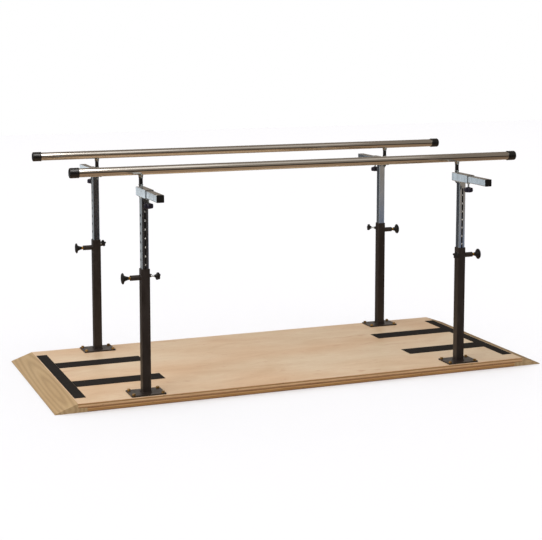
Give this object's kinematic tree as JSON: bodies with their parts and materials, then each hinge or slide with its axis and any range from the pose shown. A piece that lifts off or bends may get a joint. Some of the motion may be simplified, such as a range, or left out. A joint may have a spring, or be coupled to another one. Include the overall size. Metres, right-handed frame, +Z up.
{
  "type": "rehab walking parallel bars",
  "caption": "Ramped plywood platform with four telescoping posts, sliding width arms and two tubular handrails for gait training.",
  "frame": {"origin": "on the floor under the middle of the platform", "axes": "+Z up, +X along the walkway, -Y towards the front handrail"},
  "size_m": [2.343, 1.334, 1.0177],
  "materials": {
    "top_ply": "maple-faced plywood under satin varnish",
    "base_ply": "plywood, edges varnished",
    "ramp_wood": "solid poplar under satin varnish",
    "grip_tape": "gritted anti-slip tape",
    "post_paint": "dark bronze powder coat",
    "zinc": "bright zinc plate on steel tube",
    "stainless": "polished stainless steel",
    "yellow_zinc": "yellow zinc plate",
    "knob_plastic": "moulded black nylon",
    "cap_vinyl": "soft black vinyl"
  },
  "bodies": {
    "platform": {"deck_top": "top_ply", "deck_base": "base_ply", "ramp_left": "ramp_wood", "ramp_right": "ramp_wood", "grip_tape_left": "grip_tape", "grip_tape_right": "grip_tape", "post_front_left": "post_paint", "post_front_right": "post_paint", "post_rear_left": "post_paint", "post_rear_right": "post_paint", "plate_bolt_front_left_1": "yellow_zinc", "plate_bolt_front_left_2": "yellow_zinc", "plate_bolt_front_left_3": "yellow_zinc", "plate_bolt_front_left_4": "yellow_zinc", "plate_bolt_front_right_1": "yellow_zinc", "plate_bolt_front_right_2": "yellow_zinc", "plate_bolt_front_right_3": "yellow_zinc", "plate_bolt_front_right_4": "yellow_zinc", "plate_bolt_rear_left_1": "yellow_zinc", "plate_bolt_rear_left_2": "yellow_zinc", "plate_bolt_rear_left_3": "yellow_zinc", "plate_bolt_rear_left_4": "yellow_zinc", "plate_bolt_rear_right_1": "yellow_zinc", "plate_bolt_rear_right_2": "yellow_zinc", "plate_bolt_rear_right_3": "yellow_zinc", "plate_bolt_rear_right_4": "yellow_zinc"},
    "front_left_mast": {"mast_front_left": "zinc"},
    "front_right_mast": {"mast_front_right": "zinc"},
    "rear_left_mast": {"mast_rear_left": "zinc"},
    "rear_right_mast": {"mast_rear_right": "zinc"},
    "front_rail": {"handrail_front": "stainless", "rail_cap_front_left": "cap_vinyl", "rail_cap_front_right": "cap_vinyl", "arm_front_left": "zinc", "arm_cap_front_left": "knob_plastic", "rail_stud_front_left": "zinc"},
    "rear_rail": {"handrail_rear": "stainless", "rail_cap_rear_left": "cap_vinyl", "rail_cap_rear_right": "cap_vinyl", "arm_rear_left": "zinc", "arm_cap_rear_left": "knob_plastic", "rail_stud_rear_left": "zinc"},
    "front_right_arm": {"arm_front_right": "zinc", "arm_cap_front_right": "knob_plastic", "rail_stud_front_right": "zinc"},
    "rear_right_arm": {"arm_rear_right": "zinc", "arm_cap_rear_right": "knob_plastic", "rail_stud_rear_right": "zinc"},
    "front_left_plunger": {"plunger_front_left": "knob_plastic"},
    "front_right_plunger": {"plunger_front_right": "knob_plastic"},
    "rear_left_plunger": {"plunger_rear_left": "knob_plastic"},
    "rear_right_plunger": {"plunger_rear_right": "knob_plastic"},
    "front_left_corner_screw": {"corner_screw_front_left": "knob_plastic"},
    "front_right_corner_screw": {"corner_screw_front_right": "knob_plastic"},
    "rear_left_corner_screw": {"corner_screw_rear_left": "knob_plastic"},
    "rear_right_corner_screw": {"corner_screw_rear_right": "knob_plastic"},
    "front_left_arm_screw": {"arm_screw_front_left": "knob_plastic"},
    "front_right_arm_screw": {"arm_screw_front_right": "knob_plastic"},
    "rear_left_arm_screw": {"arm_screw_rear_left": "knob_plastic"},
    "rear_right_arm_screw": {"arm_screw_rear_right": "knob_plastic"}
  },
  "joints": [
    {"name": "front_left_height", "type": "slide", "parent": "platform", "child": "front_left_mast", "axis": [0, 0, 1], "range_m": [-0.2667, 0.1524]},
    {"name": "front_right_height", "type": "slide", "parent": "platform", "child": "front_right_mast", "axis": [0, 0, 1], "range_m": [-0.2667, 0.1524]},
    {"name": "rear_left_height", "type": "slide", "parent": "platform", "child": "rear_left_mast", "axis": [0, 0, 1], "range_m": [-0.2667, 0.1524]},
    {"name": "rear_right_height", "type": "slide", "parent": "platform", "child": "rear_right_mast", "axis": [0, 0, 1], "range_m": [-0.2667, 0.1524]},
    {"name": "front_left_width", "type": "slide", "parent": "front_left_mast", "child": "front_rail", "axis": [0, 1, 0], "range_m": [0, 0.15]},
    {"name": "front_right_width", "type": "slide", "parent": "front_right_mast", "child": "front_right_arm", "axis": [0, 1, 0], "range_m": [0, 0.15]},
    {"name": "rear_left_width", "type": "slide", "parent": "rear_left_mast", "child": "rear_rail", "axis": [0, -1, 0], "range_m": [0, 0.15]},
    {"name": "rear_right_width", "type": "slide", "parent": "rear_right_mast", "child": "rear_right_arm", "axis": [0, -1, 0], "range_m": [0, 0.15]},
    {"name": "front_left_pull", "type": "slide", "parent": "platform", "child": "front_left_plunger", "axis": [-1, 0, 0], "range_m": [0, 0.0125], "stiffness_N_per_m": 500, "springref_m": -0.012},
    {"name": "front_right_pull", "type": "slide", "parent": "platform", "child": "front_right_plunger", "axis": [1, 0, 0], "range_m": [0, 0.0125], "stiffness_N_per_m": 500, "springref_m": -0.012},
    {"name": "rear_left_pull", "type": "slide", "parent": "platform", "child": "rear_left_plunger", "axis": [-1, 0, 0], "range_m": [0, 0.0125], "stiffness_N_per_m": 500, "springref_m": -0.012},
    {"name": "rear_right_pull", "type": "slide", "parent": "platform", "child": "rear_right_plunger", "axis": [1, 0, 0], "range_m": [0, 0.0125], "stiffness_N_per_m": 500, "springref_m": -0.012},
    {"name": "front_left_corner_turn", "type": "hinge", "parent": "platform", "child": "front_left_corner_screw", "pos_m": [-0.762, -0.421, 0.5521], "axis": [0.7071, -0.7071, 0], "range_deg": [0, 540]},
    {"name": "front_right_corner_turn", "type": "hinge", "parent": "platform", "child": "front_right_corner_screw", "pos_m": [0.762, -0.421, 0.5521], "axis": [-0.7071, -0.7071, 0], "range_deg": [0, 540]},
    {"name": "rear_left_corner_turn", "type": "hinge", "parent": "platform", "child": "rear_left_corner_screw", "pos_m": [-0.762, 0.421, 0.5521], "axis": [0.7071, 0.7071, 0], "range_deg": [0, 540]},
    {"name": "rear_right_corner_turn", "type": "hinge", "parent": "platform", "child": "rear_right_corner_screw", "pos_m": [0.762, 0.421, 0.5521], "axis": [-0.7071, 0.7071, 0], "range_deg": [0, 540]},
    {"name": "front_left_arm_screw_turn", "type": "hinge", "parent": "front_left_mast", "child": "front_left_arm_screw", "pos_m": [-0.762, -0.489, 0.86], "axis": [0, 0, -1], "range_deg": [0, 540]},
    {"name": "front_right_arm_screw_turn", "type": "hinge", "parent": "front_right_mast", "child": "front_right_arm_screw", "pos_m": [0.762, -0.489, 0.86], "axis": [0, 0, -1], "range_deg": [0, 540]},
    {"name": "rear_left_arm_screw_turn", "type": "hinge", "parent": "rear_left_mast", "child": "rear_left_arm_screw", "pos_m": [-0.762, 0.489, 0.86], "axis": [0, 0, -1], "range_deg": [0, 540]},
    {"name": "rear_right_arm_screw_turn", "type": "hinge", "parent": "rear_right_mast", "child": "rear_right_arm_screw", "pos_m": [0.762, 0.489, 0.86], "axis": [0, 0, -1], "range_deg": [0, 540]}
  ],
  "couplings": [
    {"joint": "front_right_height", "follows": "front_left_height", "ratio": 1},
    {"joint": "rear_right_height", "follows": "rear_left_height", "ratio": 1},
    {"joint": "front_right_width", "follows": "front_left_width", "ratio": 1},
    {"joint": "rear_right_width", "follows": "rear_left_width", "ratio": 1}
  ]
}
